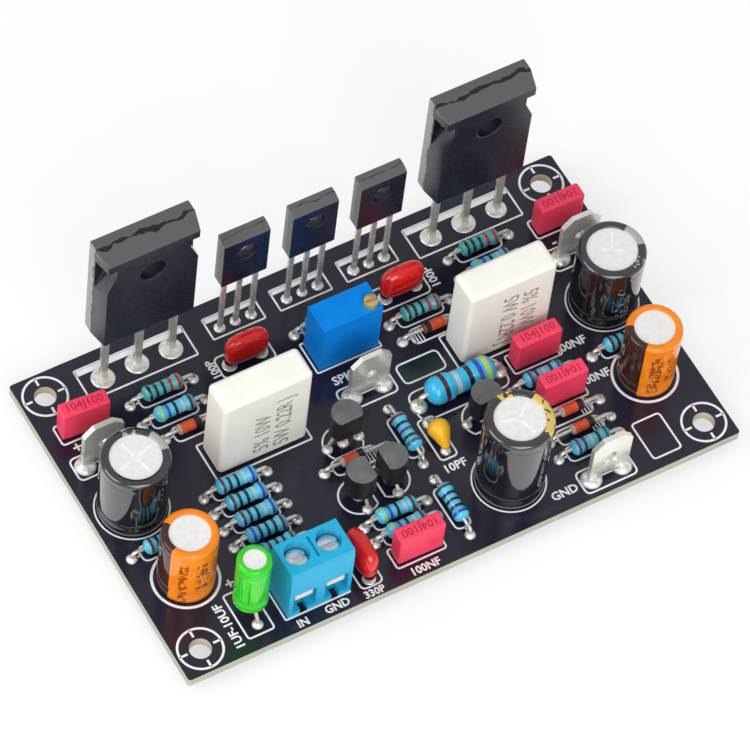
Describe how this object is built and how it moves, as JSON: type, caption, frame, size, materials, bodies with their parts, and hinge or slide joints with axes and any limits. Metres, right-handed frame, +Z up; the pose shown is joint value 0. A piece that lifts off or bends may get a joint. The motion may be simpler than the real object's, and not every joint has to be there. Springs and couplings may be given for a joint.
{
  "type": "audio amplifier board",
  "caption": "Black through-hole audio amplifier board with upright power transistors, cement resistors, capacitors, a trimmer, push-on tabs and a screw terminal.",
  "frame": {"origin": "middle of the part at the tips of the lead tails", "axes": "+X along the row of power transistors, +Y to that row, +Z up from the board"},
  "size_m": [0.0888, 0.0534, 0.0369],
  "materials": {
    "solder_mask": "gloss black solder mask with white print",
    "solder": "bright tin solder",
    "black_epoxy": "matt moulded epoxy",
    "tinned_wire": "tinned, satin",
    "trimmer_blue": "satin blue moulding",
    "white_ceramic": "matt white ceramic",
    "nylon": "natural nylon",
    "brass": "bright brass",
    "terminal_blue": "satin blue moulding",
    "plated_steel": "nickel plated",
    "tinned_brass": "tin plated, satin",
    "resistor_blue": "lacquer with colour bands",
    "resistor_teal": "lacquer with colour bands",
    "amber_glass": "orange glass with a black band",
    "crimson_plastic": "satin crimson box",
    "red_resin": "gloss dipped resin",
    "yellow_resin": "gloss dipped resin",
    "black_sleeve": "gloss shrunk sleeve",
    "orange_sleeve": "gloss shrunk sleeve",
    "green_sleeve": "gloss shrunk sleeve",
    "can_aluminium": "satin pressed can"
  },
  "bodies": {
    "board": {"circuit_board": "solder_mask", "solder_joints": "solder", "power_solder_joints": "solder", "power_transistor_left_body": "black_epoxy", "power_transistor_left_leads": "tinned_wire", "power_transistor_right_body": "black_epoxy", "power_transistor_right_leads": "tinned_wire", "driver_transistor_left_body": "black_epoxy", "driver_transistor_middle_body": "black_epoxy", "driver_transistor_right_body": "black_epoxy", "driver_transistor_leads": "tinned_wire", "signal_transistor_1": "black_epoxy", "signal_transistor_2": "black_epoxy", "signal_transistor_3": "black_epoxy", "signal_transistor_4": "black_epoxy", "signal_transistor_leads": "tinned_wire", "trimmer_housing": "trimmer_blue", "trimmer_base": "trimmer_blue", "trimmer_element": "white_ceramic", "trimmer_pins": "tinned_wire", "terminal_housing": "terminal_blue", "terminal_bars": "tinned_wire", "supply_tab_left": "tinned_brass", "supply_tab_right": "tinned_brass", "output_tab": "tinned_brass", "ground_tab": "tinned_brass", "cement_resistor_left": "white_ceramic", "cement_resistor_right": "white_ceramic", "load_resistor": "resistor_blue", "blue_resistors": "resistor_blue", "teal_resistors": "resistor_teal", "glass_diodes": "amber_glass", "axial_leads": "tinned_wire", "film_capacitor_1": "crimson_plastic", "film_capacitor_2": "crimson_plastic", "film_capacitor_3": "crimson_plastic", "film_capacitor_4": "crimson_plastic", "film_capacitor_5": "crimson_plastic", "dipped_capacitor_left": "red_resin", "dipped_capacitor_right": "red_resin", "dipped_capacitor_front": "red_resin", "drop_capacitor": "yellow_resin", "black_sleeve_left": "black_sleeve", "black_sleeve_right": "black_sleeve", "black_sleeve_front": "black_sleeve", "orange_sleeve_left": "orange_sleeve", "orange_sleeve_right": "orange_sleeve", "green_sleeve": "green_sleeve", "black_cans": "can_aluminium", "orange_cans": "can_aluminium", "green_can": "can_aluminium", "capacitor_leads": "tinned_wire"},
    "trimmer_screw": {"trimmer_screw": "brass"},
    "trimmer_wheel": {"trimmer_wheel": "nylon"},
    "terminal_screw_left": {"terminal_screw_left": "plated_steel"},
    "terminal_screw_right": {"terminal_screw_right": "plated_steel"},
    "terminal_clamp_left": {"terminal_clamp_left": "plated_steel"},
    "terminal_clamp_right": {"terminal_clamp_right": "plated_steel"}
  },
  "joints": [
    {"name": "trimmer_screw_turn", "type": "hinge", "parent": "board", "child": "trimmer_screw", "pos_m": [0.00424, 0.01051, 0.0086], "axis": [0, 0, 1], "range_deg": [-4500, 4500]},
    {"name": "trimmer_wheel_turn", "type": "hinge", "parent": "board", "child": "trimmer_wheel", "pos_m": [0.00069, 0.0116, 0.00897], "axis": [0, 1, 0], "range_deg": [-151, 151]},
    {"name": "clamp_screw_left_turn", "type": "hinge", "parent": "board", "child": "terminal_screw_left", "pos_m": [-0.0252, -0.02092, 0.0116], "axis": [0, 0, -1], "range_deg": [0, 936]},
    {"name": "clamp_left_rise", "type": "slide", "parent": "board", "child": "terminal_clamp_left", "axis": [0, 0, 1], "range_m": [0, 0.0013]},
    {"name": "clamp_screw_right_turn", "type": "hinge", "parent": "board", "child": "terminal_screw_right", "pos_m": [-0.0202, -0.02092, 0.0116], "axis": [0, 0, -1], "range_deg": [0, 936]},
    {"name": "clamp_right_rise", "type": "slide", "parent": "board", "child": "terminal_clamp_right", "axis": [0, 0, 1], "range_m": [0, 0.0013]}
  ],
  "couplings": [
    {"joint": "trimmer_wheel_turn", "follows": "trimmer_screw_turn", "ratio": 0.033333},
    {"joint": "clamp_screw_left_turn", "follows": "clamp_left_rise", "rad_per_m": 12566},
    {"joint": "clamp_screw_right_turn", "follows": "clamp_right_rise", "rad_per_m": 12566}
  ]
}
